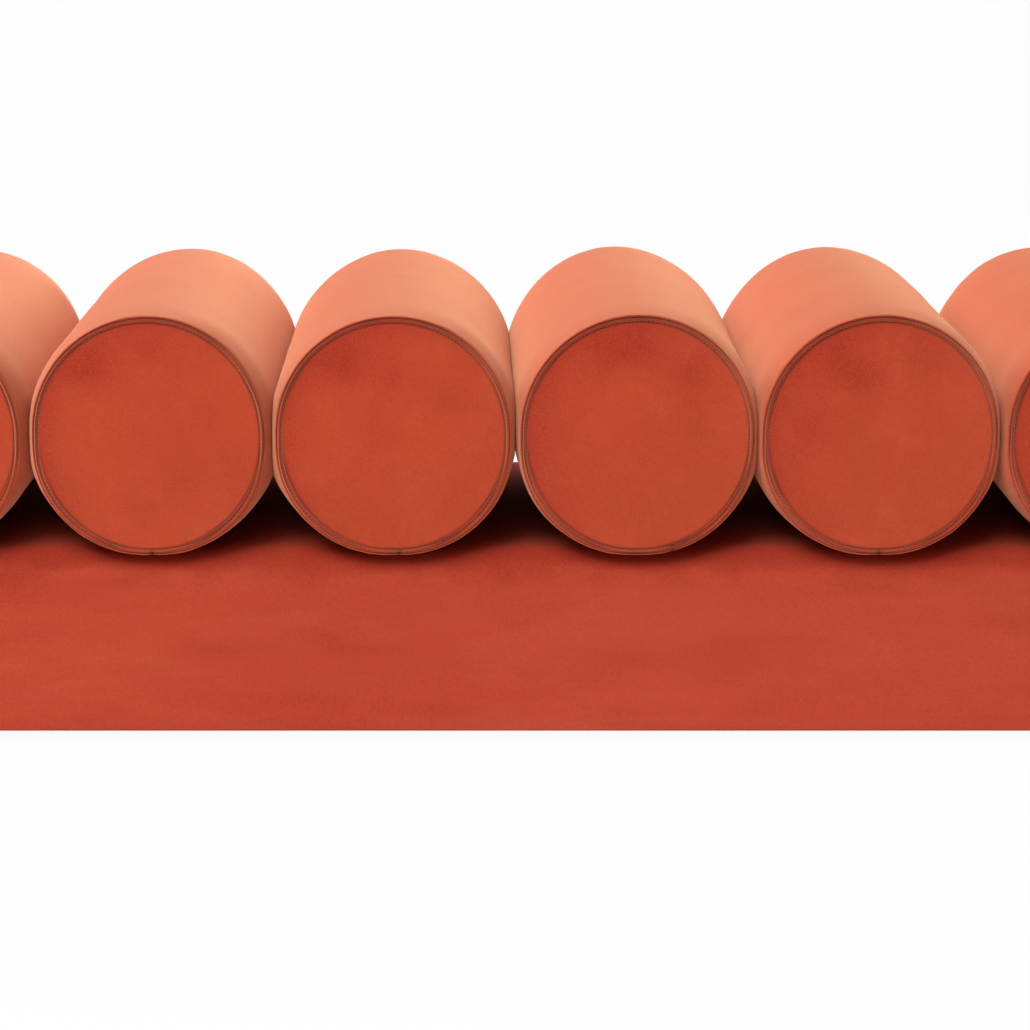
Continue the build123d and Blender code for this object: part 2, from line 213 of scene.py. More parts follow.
@dataclass(frozen=True)
class Velvet:
    """Short-pile velvet: a deep ground, lighter where the pile is brushed, with a soft sheen."""

    name: str
    deep: tuple[float, float, float] = (0.345, 0.005, 0.001)
    body: tuple[float, float, float] = (0.502, 0.044, 0.013)
    brushed: tuple[float, float, float] = (0.610, 0.087, 0.036)
    # The darkest colour: flattened pile in the seams, with painted shade in their grooves and along
    # the plinth's top edges
    crushed_and_shade: tuple[float, float, float] = (0.120, 0.004, 0.001)
    sheen: float = 0.78
    sheen_roughness: float = 0.60
    sheen_tint: tuple[float, float, float] = (1.0, 0.53, 0.30)
    brush_stretch: tuple[float, float, float] = (1.0, 0.5, 0.8)
    # Cells to the metre
    cloud_scale: float = 7.0
    smudge_scale: float = 24.0
    fleck_scale: float = 210.0
    pile_scale: float = 850.0
    fleck_relief: float = 0.4 * MM
    pile_relief: float = 0.3 * MM

    def material(self) -> bpy.types.Material:
        """Build the velvet.

        Returns:
            The material.
        """
        tree = Tree(self.name)
        place = tree.place()
        brushed_place = tree.place(self.brush_stretch)
        clouds = tree.ramp(tree.noise(brushed_place, self.cloud_scale, 4.0, 0.6), 0.38, 0.62)
        smudges = tree.ramp(tree.noise(brushed_place, self.smudge_scale, 5.0, 0.68), 0.50, 0.72)
        flecks = tree.ramp(tree.noise(place, self.fleck_scale, 4.0, 0.75), 0.46, 0.72)
        pile = tree.noise(place, self.pile_scale, 2.0, 0.8)
        nap_and_shade = tree.add("ShaderNodeAttribute")
        nap_and_shade.attribute_name = NAP_AND_SHADE
        seam = tree.add("ShaderNodeAttribute")
        seam.attribute_name = SEAM_AND_SHADE
        colour = tree.mix(tree.ramp(clouds, 0.0, 1.0, (0.72, 1.0)), self.deep, self.body)
        colour = tree.mix(tree.ramp(smudges, 0.0, 1.0, (0.0, 0.30)), colour, self.brushed)
        brushed_out = tree.ramp(smudges, 0.0, 1.0, (1.0, 0.75))
        # Painted shade: the crescent at each disc's left edge and the band along the plinth's top
        # edges, with the pile's own smudges
        dark_pile_and_shade = tree.maths("MULTIPLY", nap_and_shade.outputs["Fac"], brushed_out)
        colour = tree.mix(dark_pile_and_shade, colour, self.deep)
        colour = tree.mix(tree.ramp(flecks, 0.0, 1.0, (0.0, 0.26)), colour, self.deep)
        colour = tree.mix(tree.ramp(pile, 0.38, 0.66, (0.0, 0.42)), colour, self.brushed)
        # Seam lines of flattened pile, with painted shade in their grooves and along the plinth's
        # top edges
        colour = tree.mix(seam.outputs["Fac"], colour, self.crushed_and_shade)
        relief = tree.bump(flecks, self.fleck_relief, 0.3)
        relief = tree.bump(pile, self.pile_relief, 0.6, relief)
        shader = tree.add("ShaderNodeBsdfPrincipled", Base_Color=colour, Normal=relief,
                          Roughness=0.9, Sheen_Weight=self.sheen,
                          Sheen_Roughness=self.sheen_roughness,
                          Sheen_Tint=(*self.sheen_tint, 1.0))
        shader.inputs["Specular IOR Level"].default_value = 0.1
        return tree.finish(shader)


@dataclass(frozen=True)
class Thread:
    """Twisted polyester sewing thread."""

    name: str
    colour: tuple[float, float, float] = (0.62, 0.105, 0.052)
    shade: tuple[float, float, float] = (0.36, 0.040, 0.018)

    def material(self) -> bpy.types.Material:
        """Build the thread, with a fine twist in its colour."""
        tree = Tree(self.name)
        twist = tree.noise(tree.place(), 2600.0, 1.0)
        colour = tree.mix(tree.ramp(twist, 0.4, 0.65), self.colour, self.shade)
        shader = tree.add("ShaderNodeBsdfPrincipled", Base_Color=colour, Roughness=0.5,
                          Normal=tree.bump(twist, 0.0001, 0.5))
        return tree.finish(shader)


@dataclass(frozen=True)
class Timber:
    """Bare wood with its grain along X: planed softwood or the face of plywood."""

    name: str
    pale: tuple[float, float, float]
    dark: tuple[float, float, float]
    ring_scale: float

    def material(self) -> bpy.types.Material:
        """Build the wood from stretched rings and fine pores."""
        tree = Tree(self.name)
        place = tree.place((0.06, 1.0, 1.0))
        warp = tree.noise(place, 6.0, 3.0)
        rings = tree.noise(place, self.ring_scale, 2.0)
        pores = tree.noise(tree.place((0.02, 1.0, 1.0)), 900.0, 2.0)
        grain = tree.maths("FRACT", tree.maths("ADD", tree.maths("MULTIPLY", warp, 7.0), rings))
        colour = tree.mix(tree.ramp(grain, 0.15, 0.95), self.pale, self.dark)
        colour = tree.mix(tree.ramp(pores, 0.5, 0.8, (0.0, 0.25)), colour, self.dark)
        shader = tree.add("ShaderNodeBsdfPrincipled", Base_Color=colour, Roughness=0.62,
                          Normal=tree.bump(pores, 0.0003, 0.3))
        return tree.finish(shader)


@dataclass(frozen=True)
class Fibre:
    """A soft filling or cloth: foam, wadding or the dust cover."""

    name: str
    colour: tuple[float, float, float]
    hollow: tuple[float, float, float]
    scale: float
    depth: float

    def material(self) -> bpy.types.Material:
        """Build the filling from open cells or felted fibres."""
        tree = Tree(self.name)
        place = tree.place()
        cells = tree.add("ShaderNodeTexVoronoi", Vector=place, Scale=self.scale).outputs["Distance"]
        cloud = tree.noise(place, 14.0, 3.0)
        colour = tree.mix(tree.ramp(cells, 0.1, 0.7), self.hollow, self.colour)
        colour = tree.mix(tree.ramp(cloud, 0.35, 0.7, (0.0, 0.3)), colour, self.hollow)
        shader = tree.add("ShaderNodeBsdfPrincipled", Base_Color=colour, Roughness=0.92,
                          Normal=tree.bump(cells, self.depth, 0.6))
        return tree.finish(shader)


@dataclass(frozen=True)
class Metal:
    """Zinc-plated steel, dulled and slightly uneven."""

    name: str
    colour: tuple[float, float, float]
    roughness: float = 0.34

    def material(self) -> bpy.types.Material:
        """Build the plated steel, its roughness clouded by handling."""
        tree = Tree(self.name)
        place = tree.place()
        spangle = tree.noise(place, 260.0, 3.0)
        handled = tree.noise(place, 40.0, 2.0)
        dull = tuple(0.72 * c for c in self.colour)
        colour = tree.mix(tree.ramp(spangle, 0.35, 0.7), self.colour, dull)
        rough = tree.ramp(handled, 0.3, 0.7, (self.roughness - 0.08, self.roughness + 0.14))
        shader = tree.add("ShaderNodeBsdfPrincipled", Base_Color=colour, Metallic=1.0,
                          Roughness=rough, Normal=tree.bump(spangle, 0.0001, 0.2))
        return tree.finish(shader)


@dataclass(frozen=True)
class Moulding:
    """Black moulded nylon with a fine spark-eroded texture."""

    name: str
    colour: tuple[float, float, float] = (0.018, 0.018, 0.019)

    def material(self) -> bpy.types.Material:
        """Build the nylon, scuffed a little paler in patches."""
        tree = Tree(self.name)
        place = tree.place()
        texture = tree.noise(place, 1800.0, 2.0)
        scuffs = tree.ramp(tree.noise(place, 90.0, 4.0), 0.55, 0.8, (0.0, 0.35))
        colour = tree.mix(scuffs, self.colour, (0.07, 0.07, 0.072))
        shader = tree.add("ShaderNodeBsdfPrincipled", Base_Color=colour, Roughness=0.48,
                          Normal=tree.bump(texture, 0.0001, 0.5))
        return tree.finish(shader)


class Finishes:
    """Every material of the bench, built once."""

    def __init__(self) -> None:
        """Build each material by slot, and the thread."""
        makers = {
            Slot.ROLL_VELVET: Velvet("roll_velvet"),
            Slot.PLINTH_VELVET: Velvet(
                "plinth_velvet", deep=(0.365, 0.022, 0.008), body=(0.525, 0.064, 0.029),
                brushed=(0.625, 0.106, 0.055), sheen=0.12, brush_stretch=(0.25, 0.6, 1.0),
            ),
            Slot.FOAM: Fibre("foam", (0.86, 0.78, 0.56), (0.62, 0.52, 0.32), 700.0, 0.0005),
            Slot.WADDING: Fibre("wadding", (0.9, 0.9, 0.88), (0.7, 0.7, 0.69), 300.0, 0.0012),
            Slot.PLYWOOD: Timber("plywood", (0.60, 0.40, 0.21), (0.42, 0.25, 0.11), 11.0),
            Slot.PINE: Timber("pine", (0.68, 0.45, 0.22), (0.45, 0.23, 0.08), 22.0),
            Slot.DUST_CLOTH: Fibre(
                "dust_cloth", (0.022, 0.022, 0.024), (0.008, 0.008, 0.009), 900.0, 0.0003,
            ),
            Slot.FOOT_PLASTIC: Moulding("foot_plastic"),
            Slot.SCREW_STEEL: Metal("screw_steel", (0.62, 0.50, 0.22)),
            Slot.STAPLE_WIRE: Metal("staple_wire", (0.55, 0.56, 0.58), 0.3),
            Slot.ZINC_STEEL: Metal("zinc_steel", (0.62, 0.64, 0.66)),
        }
        self.by_slot = {slot: maker.material() for slot, maker in makers.items()}
        self.thread = Thread("seam_thread").material()

    def dress(self, piece: bpy.types.Object, slot: Slot) -> None:
        """Give a piece the material of a slot."""
        piece.data.materials.clear()
        piece.data.materials.append(self.by_slot[slot])


# Modelling by hand


def clear_selection() -> None:
    """Leave nothing selected and no edit mode open."""
    if bpy.context.object and bpy.context.object.mode != "OBJECT":
        bpy.ops.object.mode_set(mode="OBJECT")
    bpy.ops.object.select_all(action="DESELECT")


def take_up(piece: bpy.types.Object) -> None:
    """Select one piece alone and make it active."""
    clear_selection()
    piece.select_set(True)
    bpy.context.view_layer.objects.active = piece


def apply_modifiers(piece: bpy.types.Object) -> None:
    """Apply all modifiers of a piece, in order."""
    take_up(piece)
    for modifier in list(piece.modifiers):
        bpy.ops.object.modifier_apply(modifier=modifier.name)


def settle_place(piece: bpy.types.Object) -> None:
    """Put a piece's place, turn and size into its mesh."""
    take_up(piece)
    bpy.ops.object.transform_apply(location=True, rotation=True, scale=True)


def read_points(piece: bpy.types.Object) -> np.ndarray:
    """A piece's vertices as rows of X, Y, Z."""
    points = np.zeros(len(piece.data.vertices) * 3)
    piece.data.vertices.foreach_get("co", points)
    return points.reshape(-1, 3)


def write_points(piece: bpy.types.Object, points: np.ndarray) -> None:
    """Set a piece's vertices from rows of X, Y, Z."""
    piece.data.vertices.foreach_set("co", np.ascontiguousarray(points, dtype=float).ravel())
    piece.data.update()


def lumps(points: np.ndarray, cell: float, seed: float) -> np.ndarray:
    """Smooth unevenness from -1 to 1 at each point.

    Args:
        points: rows of X, Y, Z in metres.
        cell: the size of a lump in metres.
        seed: an offset that makes each piece its own.

    Returns:
        One value for each point.
    """
    shift = Vector((seed * 17.3, seed * 5.1, seed * 29.7))
    return np.array([noise.noise(Vector(p) / cell + shift) for p in points])


def mark(piece: bpy.types.Object, name: str, values: np.ndarray) -> None:
    """Keep one value for each vertex, from 0 to 1, for the velvet to read."""
    attribute = piece.data.attributes.get(name) or piece.data.attributes.new(name, "FLOAT", "POINT")
    clipped = np.ascontiguousarray(np.clip(values, 0, 1), dtype=np.float32)
    attribute.data.foreach_set("value", clipped)


def outward(piece: bpy.types.Object) -> np.ndarray:
    """The vertices' normals as rows of X, Y, Z."""
    normals = np.zeros(len(piece.data.vertices) * 3)
    piece.data.vertices.foreach_get("normal", normals)
    return normals.reshape(-1, 3)


def smooth(piece: bpy.types.Object) -> None:
    """Shade a piece smooth all over."""
    take_up(piece)
    bpy.ops.object.shade_smooth()


def copies(name: str, shape: bpy.types.Object,
           places: list[tuple[Vector, Vector, Vector]]) -> bpy.types.Object:
    """One piece made of many copies of a small shape, which is used up.

    Args:
        name: the new piece's name.
        shape: a shape at the origin whose X, Y and Z are turned to each place's axes.
        places: for each copy its centre, its X axis and its Z axis.

    Returns:
        The new piece.
    """
    base = read_points(shape)
    faces = [tuple(p.vertices) for p in shape.data.polygons]
    points, polygons = [], []
    for centre, along, up in places:
        x_axis, z_axis = along.normalized(), up.normalized()
        y_axis = z_axis.cross(x_axis).normalized()
        z_axis = x_axis.cross(y_axis)
        turn = np.array([x_axis, y_axis, z_axis])
        start = len(points)
        points.extend(base @ turn + np.array(centre))
        polygons.extend([tuple(start + v for v in face) for face in faces])
    mesh = bpy.data.meshes.new(name)
    mesh.from_pydata([tuple(p) for p in points], [], polygons)
    piece = bpy.data.objects.new(name, mesh)
    bpy.context.scene.collection.objects.link(piece)
    bpy.data.objects.remove(shape)
    smooth(piece)
    return piece


def stitch(length: float, radius: float) -> bpy.types.Object:
    """One stitch of thread, lying along X and bowed into the cloth at both ends."""
    clear_selection()
    bpy.ops.mesh.primitive_uv_sphere_add(
        segments=6, ring_count=4, radius=radius, rotation=(0, pi / 2, 0),
    )
    piece = bpy.context.object
    settle_place(piece)
    points = read_points(piece)
    reach = length / 2
    points[:, 0] *= reach / radius
    points[:, 2] -= (points[:, 0] / reach) ** 2 * radius
    write_points(piece, points)
    return piece


# Rolls


@dataclass
class RollSection:
    """The cross-section of a roll: round above, pressed flat at the sides and underneath."""

    width: float = 253.4 * MM
    height: float = 260.0 * MM
    foot_width: float = 16.0 * MM

    def lengths(self) -> list[float]:
        """The lengths of crown arc, side, heel arc, foot, heel arc and side."""
        half, foot = self.width / 2, self.foot_width / 2
        heel = half - foot
        side = self.height - half - heel
        return [pi * half, side, pi / 2 * heel, 2 * foot, pi / 2 * heel, side]

    def point(self, share: float) -> tuple[float, float]:
        """A point of the outline.

        Args:
            share: how far round, from 0 to 1, from the right side over the top and back underneath.

        Returns:
            X from the middle and Z from the underside.
        """
        half, foot = self.width / 2, self.foot_width / 2
        heel, crown = half - foot, self.height - half
        lengths = self.lengths()
        way = share * sum(lengths)
        part = 0
        while part < len(lengths) - 1 and way > lengths[part]:
            way -= lengths[part]
            part += 1
        if part == 0:
            angle = way / half
            return half * cos(angle), crown + half * sin(angle)
        if part == 1:
            return -half, crown - way
        if part == 2:
            angle = pi + way / heel
            return -foot + heel * cos(angle), heel + heel * sin(angle)
        if part == 3:
            return -foot + way, 0.0
        if part == 4:
            angle = 1.5 * pi + way / heel
            return foot + heel * cos(angle), heel + heel * sin(angle)
        return half, heel + way


@dataclass
class RollShape:
    """The blank that every roll starts from: tube, rounded edges, sewn bands and end discs."""

    section: RollSection = field(default_factory=RollSection)
    length: float = 508.0 * MM
    ring_points: int = 176
    # Each row of an end: how far in from the outline, and how far behind the end's foremost plane
    disc_edge: tuple[float, float] = (11.6, 2.3)
    end_rows: tuple[tuple[float, float], ...] = (
        (10.6, 2.6), (10.1, 3.9), (9.5, 4.3), (9.0, 3.2), (8.4, 1.9), (7.6, 1.3), (6.8, 1.7),
        (6.2, 3.1), (5.7, 5.2), (5.2, 4.1), (4.4, 3.6), (3.6, 4.3), (3.1, 5.6), (2.75, 7.6),
        (2.45, 10.5), (2.05, 15.0), (1.5, 21.5), (0.95, 29.5), (0.48, 38.5), (0.15, 48.5),
        (0.0, 59.0),
    )
    tube_step: float = 9.0 * MM
    held_depth: float = 6.0 * MM
    held_inset: float = 11.0 * MM
    held_margin: float = 1.0 * MM

    def stations(self) -> list[tuple[float, float]]:
        """Inset and Y of each ring, from the front disc's edge to the back disc's edge."""
        end = [(inset * MM, depth * MM) for inset, depth in (self.disc_edge, *self.end_rows)]
        front = [(inset, depth - self.length / 2) for inset, depth in end]
        last = -front[-1][1]
        count = round(2 * last / self.tube_step)
        tube = [(0.0, -last + 2 * last * i / count) for i in range(1, count)]
        back = [(inset, -y) for inset, y in reversed(front)]
        return front + tube + back

    def build(self) -> bpy.types.Object:
        """Model the blank: a ring, extruded row by row and closed with a grid at both ends.

        Returns:
            A roll's skin at X 0 with its underside at Z 0.
        """
        half = self.section.width / 2
        middle = self.section.height / 2
        count = self.ring_points
        clear_selection()
        bpy.ops.mesh.primitive_circle_add(vertices=count, radius=half, fill_type="NOTHING")
        piece = bpy.context.object
        rows = self.stations()
        inset, y = rows[0]
        scale = 1 - inset / half
        points = np.array([self.section.point(i / count) for i in range(count)])
        ring = np.column_stack([
            points[:, 0] * scale,
            np.full(count, y),
            middle + (points[:, 1] - middle) * scale,
        ])
        write_points(piece, ring)
        take_up(piece)
        bpy.ops.object.mode_set(mode="EDIT")
        bpy.ops.mesh.select_mode(type="EDGE")
        bpy.ops.mesh.select_all(action="SELECT")
        for next_inset, next_y in rows[1:]:
            next_scale = 1 - next_inset / half
            bpy.ops.mesh.extrude_region_move(TRANSFORM_OT_translate={"value": (0, next_y - y, 0)})
            ratio = next_scale / scale
            bpy.ops.transform.resize(value=(ratio, 1, ratio), center_override=(0, next_y, middle))
            scale, y = next_scale, next_y
        for side in (1, -1):
            self.close_end(piece, side)
        bpy.ops.mesh.select_all(action="SELECT")
        bpy.ops.mesh.normals_make_consistent(inside=False)
        bpy.ops.object.mode_set(mode="OBJECT")
        self.dome_ends(piece)
        return piece

    def close_end(self, piece: bpy.types.Object, side: int) -> None:
        """Fill one open end with a grid of quads, in edit mode."""
        bpy.ops.mesh.select_all(action="DESELECT")
        bpy.ops.object.mode_set(mode="OBJECT")
        edge_y = side * (self.length / 2 - self.disc_edge[1] * MM)
        near = np.abs(read_points(piece)[:, 1] - edge_y) < SAME_PLACE
        for vertex, chosen in zip(piece.data.vertices, near):
            vertex.select = bool(chosen)
        bpy.ops.object.mode_set(mode="EDIT")
        bpy.ops.mesh.select_mode(type="VERT")
        bpy.ops.mesh.select_mode(type="EDGE")
        bpy.ops.mesh.fill_grid(span=self.ring_points // 4, offset=self.ring_points // 8)

    def dome_ends(self, piece: bpy.types.Object) -> None:
        """Crown both discs between their edge and their middle."""
        points = read_points(piece)
        edge = self.length / 2 - self.disc_edge[1] * MM
        reach = self.section.width / 2 - self.disc_edge[0] * MM
        on_disc = np.abs(np.abs(points[:, 1]) - edge) < SAME_PLACE
        radius = np.hypot(points[:, 0], points[:, 2] - self.section.height / 2) / reach
        rise = self.disc_edge[1] * MM * np.clip(1 - radius ** 2, 0, 1)
        points[:, 1] += np.where(on_disc, np.sign(points[:, 1]) * rise, 0)
        write_points(piece, points)

    def held(self, points: np.ndarray) -> np.ndarray:
        """Which points the seams hold still while the filling swells."""
        depth = self.length / 2 - np.abs(points[:, 1])
        out = np.hypot(points[:, 0], points[:, 2] - self.section.height / 2)
        rim = out > self.section.width / 2 - self.held_inset - self.held_margin
        return rim & (depth < self.held_depth)


@dataclass
class Filling:
    """How a stuffed skin swells: cloth under pressure, between the parts that are held."""

    pressure: float = 4.0
    frames: int = 20
    cap: float = 3.0 * MM
    mass: float = 0.25
    stiffness: float = 25.0
    bending: float = 1.0
    quality: int = 5

    def swell(self, piece: bpy.types.Object, held: np.ndarray) -> None:
        """Let the filling press a skin out, then keep the result in its mesh.

        Args:
            piece: the skin.
            held: which vertices stay where they are.
        """
        start = read_points(piece)
        pins = piece.vertex_groups.new(name="held")
        pins.add([int(i) for i in np.flatnonzero(held)], 1.0, "REPLACE")
        cloth = piece.modifiers.new("filling", "CLOTH")
        settings = cloth.settings
        settings.quality = self.quality
        settings.mass = self.mass
        settings.tension_stiffness = self.stiffness
        settings.compression_stiffness = self.stiffness
        settings.shear_stiffness = self.stiffness / 2
        settings.bending_stiffness = self.bending
        settings.vertex_group_mass = "held"
        settings.use_pressure = True
        settings.uniform_pressure_force = self.pressure
        settings.effector_weights.gravity = 0.0
        cloth.collision_settings.use_collision = False
        cloth.point_cache.frame_start = 1
        cloth.point_cache.frame_end = self.frames
        for frame in range(1, self.frames + 1):
            bpy.context.scene.frame_set(frame)
        apply_modifiers(piece)
        bpy.context.scene.frame_set(1)
        moved = read_points(piece) - start
        reach = np.linalg.norm(moved, axis=1, keepdims=True)
        moved *= np.minimum(1.0, self.cap / np.maximum(reach, 1e-9))
        write_points(piece, start + moved)
        piece.vertex_groups.clear()


@dataclass(frozen=True)
class Lie:
    """How one roll lies in the row, and the smudges on its front disc."""

    # How far its front and its back lie to the right of its place
    front_shift: float
    back_shift: float
    # Shares by which it is narrower, plumper all along, and higher still at its back
    squeeze: float
    plump: float
    back_rise: float
    # Where the seam runs along its underside, as a share of its half width
    seam_turn: float
    # Across and up as shares of the disc's radius, reach in millimetres, strength
    smudges: tuple[tuple[float, float, float, float], ...]


@dataclass
class Roll:
    """One bolster roll: its skin and the topstitching of both ends."""

    number: int
    x: float
    z: float
    seed: float
    lie: Lie
    shape: RollShape
    # X of the planes where this roll meets its neighbours, at its front and at its back
    left_limit: tuple[float, float] | None
    right_limit: tuple[float, float] | None
    # How much further the lower flanks sag outwards, on the left and on the right
    sags: tuple[float, float]
    # How much further the upper flanks fill out towards the back, on the left and on the right
    back_swells: tuple[float, float]
    sag_height: float = 84.0 * MM
    sag_reach: float = 34.0 * MM
    back_swell_height: float = 167.0 * MM
    back_swell_reach: float = 42.0 * MM
    swelling: float = 0.034
    swelling_depth: float = 46.0 * MM
    neighbour_gap: float = 0.12 * MM
    # Seams, from the outline inwards and from the foremost plane back
    tube_seam_width: float = 1.7 * MM
    tube_seam_depth: float = 0.9 * MM
    outer_seam_inset: float = 5.7 * MM
    outer_seam_depth: float = 5.7 * MM
    seam_line: float = 1.35 * MM
    seam_cell: float = 30.0 * MM
    stitch_inset: float = 9.6 * MM
    stitch_depth: float = 3.6 * MM
    stitch_length: float = 3.0 * MM
    stitch_pitch: float = 4.2 * MM
    stitch_radius: float = 0.42 * MM
    # Unevenness: how deep each kind is and how far apart it repeats
    pucker: float = 0.35 * MM
    pucker_reach: float = 16.0 * MM
    pucker_cell: float = 13.0 * MM
    unevenness: float = 0.9 * MM
    unevenness_cell: float = 85.0 * MM
    unevenness_margin: float = 30.0 * MM
    wrinkle: float = 0.28 * MM
    wrinkle_cell: float = 24.0 * MM
    # The crescent of painted shade at each disc's left edge, and how ragged it and the smudges are
    crescent_shade_reach: float = 19.0 * MM
    least_crescent_shade_reach: float = 4.0 * MM
    crescent_turn: float = 0.55
    crescent_cell: float = 55.0 * MM
    smudge_cell: float = 38.0 * MM

    def build(self, blank: bpy.types.Object, finishes: Finishes) -> list[bpy.types.Object]:
        """Copy the stuffed blank, give it this roll's own unevenness and sew its ends.

        Args:
            blank: the stuffed skin, at X 0 with its underside at Z 0.
            finishes: the materials.

        Returns:
            The skin and the two rows of stitches.
        """
        skin = blank.copy()
        skin.data = blank.data.copy()
        name = f"roll_{self.number}"
        skin.name = skin.data.name = f"{name}_cover"
        bpy.context.scene.collection.objects.link(skin)
        self.paint_pile_and_shade(skin)
        self.roughen(skin)
        finishes.dress(skin, Slot.ROLL_VELVET)
        smooth(skin)
        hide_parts(f"{name}_tube_cover", f"{name}_front_panel", f"{name}_back_panel")
        pieces = [skin]
        for end in End:
            pieces.append(self.topstitch(end, finishes))
        for piece in pieces:
            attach(piece, "bench")
        return pieces

    def shifted(self, points: np.ndarray) -> np.ndarray:
        """Points of the blank moved to this roll's place, a little askew and squeezed."""
        lie = self.lie
        share = points[:, 1:2] / self.shape.length + 0.5
        slide = lie.front_shift * (1 - share) + lie.back_shift * share
        moved = points.copy()
        moved[:, 0:1] = points[:, 0:1] * (1 - lie.squeeze) + slide + self.x
        moved[:, 2] = points[:, 2] * (1 + lie.plump + lie.back_rise * share[:, 0]) + self.z
        return moved

    def paint_pile_and_shade(self, skin: bpy.types.Object) -> None:
        """Mark the seams, flattened pile with painted shade in their grooves, and each disc's
        painted shade and smudges.
        """
        points = read_points(skin)
        middle = self.shape.section.height / 2
        half = self.shape.section.width / 2
        depth = self.shape.length / 2 - np.abs(points[:, 1])
        across, up = points[:, 0], points[:, 2] - middle
        out = np.hypot(across, up * half / middle)
        on_end = depth < self.shape.held_depth
        # Dark seam lines round each end and along the tube's underside: flattened pile, with
        # painted shade in the grooves
        inner = np.exp(-((half - self.stitch_inset - out) / self.seam_line) ** 2)
        outer = np.exp(-((half - self.outer_seam_inset - out) / self.seam_line) ** 2)
        wander = 0.75 + 0.35 * lumps(points, self.seam_cell, self.seed + 11)
        round_end = np.where(on_end, (0.95 * inner + 1.1 * outer) * wander, 0.0)
        mark(skin, SEAM_AND_SHADE, round_end + 0.8 * self.tube_seam(points))
        # Painted shade: seen from outside, each disc is darkest towards its own left edge, where
        # the pile lies shaded
        face = np.sign(points[:, 1])
        seen_across = across * -face
        bearing = np.arctan2(up, seen_across)
        towards = np.cos(bearing - pi - self.crescent_turn * face)
        from_edge = np.clip(half - self.stitch_inset - out, 0, None)
        reach = self.crescent_shade_reach * (1 + 0.7 * lumps(points, self.crescent_cell, self.seed + 5))
        fading = np.exp(-from_edge / np.maximum(reach, self.least_crescent_shade_reach))
        dark = fading * np.clip(0.3 + 0.95 * towards, 0, 1)
        ragged = 1 + 0.35 * lumps(points, self.smudge_cell, self.seed + 19)
        for share_across, share_up, size, strength in self.lie.smudges:
            away = np.hypot(seen_across - share_across * half, up - share_up * half) * ragged
            dark = dark + strength * np.exp(-(away / (size * MM)) ** 2) * (face < 0)
        mark(skin, NAP_AND_SHADE, np.where(on_end, dark, 0.0))

    def tube_seam(self, points: np.ndarray) -> np.ndarray:
        """How much each point, from 0 to 1, lies in the seam along the tube's underside."""
        half = self.shape.section.width / 2
        low = points[:, 2] < half / 3
        out = np.hypot(points[:, 0], points[:, 2] - self.shape.section.height / 2)
        on_tube = out >= half - self.outer_seam_inset
        aside = points[:, 0] - self.lie.seam_turn * half
        return np.where(low & on_tube, np.exp(-(aside / self.tube_seam_width) ** 2), 0.0)

    def roughen(self, skin: bpy.types.Object) -> None:
        """Add lumps in the filling, puckers and soft wrinkles, and put the skin in its place."""
        shape = self.shape
        points = read_points(skin)
        depth = shape.length / 2 - np.abs(points[:, 1])
        out = np.hypot(points[:, 0], points[:, 2] - shape.section.height / 2)
        rim = shape.section.width / 2
        on_end = depth < shape.held_depth
        on_band = on_end & (out > rim - shape.held_inset)
        from_seam = np.where(
            on_end, np.maximum(rim - self.stitch_inset - out, 0), depth - self.outer_seam_depth,
        )
        near_seam = np.exp(-np.clip(from_seam, 0, None) / self.pucker_reach)
        # Puckers and wrinkles are drawn out along the roll
        drawn_out = points * np.array([1.0, 0.12, 1.0])
        puckers = lumps(drawn_out, self.pucker_cell, self.seed + 3) * near_seam * self.pucker
        drawn_out = points * np.array([1.0, 0.35, 1.0])
        wrinkles = lumps(drawn_out, self.wrinkle_cell, self.seed + 7) * self.wrinkle
        wrinkles *= 0.35 + 0.65 * near_seam
        bumps = lumps(points, self.unevenness_cell, self.seed) * self.unevenness
        bumps *= np.clip(from_seam / self.unevenness_margin, 0, 1)
        move = np.where(on_band, 0.25 * puckers, puckers + wrinkles) + bumps
        move -= self.tube_seam(points) * self.tube_seam_depth
        points += outward(skin) * move[:, None]
        points[:, 2] = np.maximum(points[:, 2], 0.0)
        self.fill_out(points, depth)
        write_points(skin, self.pressed(self.shifted(points), self.neighbour_gap))

    def fill_out(self, points: np.ndarray, depth: np.ndarray) -> None:
        """Swell the tube between its ends, more where its flanks sag or are stuffed full.

        Args:
            points: the skin's points, which are changed.
            depth: how far each point lies from the nearer end.
        """
        left = points[:, 0] < 0
        sag = np.exp(-((points[:, 2] - self.sag_height) / self.sag_reach) ** 2)
        sag *= np.where(left, *self.sags)
        full = np.exp(-((points[:, 2] - self.back_swell_height) / self.back_swell_reach) ** 2)
        full *= np.where(left, *self.back_swells)
        full *= np.clip(4 * points[:, 1] / self.shape.length, 0, 1)
        slack = np.clip((depth - self.shape.held_depth) / self.swelling_depth, 0, 1)
        points[:, 0] *= 1 + (self.swelling + sag + full) * slack * (2 - slack)

    def pressed(self, points: np.ndarray, gap: float) -> np.ndarray:
        """Points in this roll's place, pressed flat a gap short of its neighbours."""
        share = points[:, 1] / self.shape.length + 0.5
        if self.left_limit:
            front, back = self.left_limit
            points[:, 0] = np.maximum(points[:, 0], front * (1 - share) + back * share + gap)
        if self.right_limit:
            front, back = self.right_limit
            points[:, 0] = np.minimum(points[:, 0], front * (1 - share) + back * share - gap)
        return points

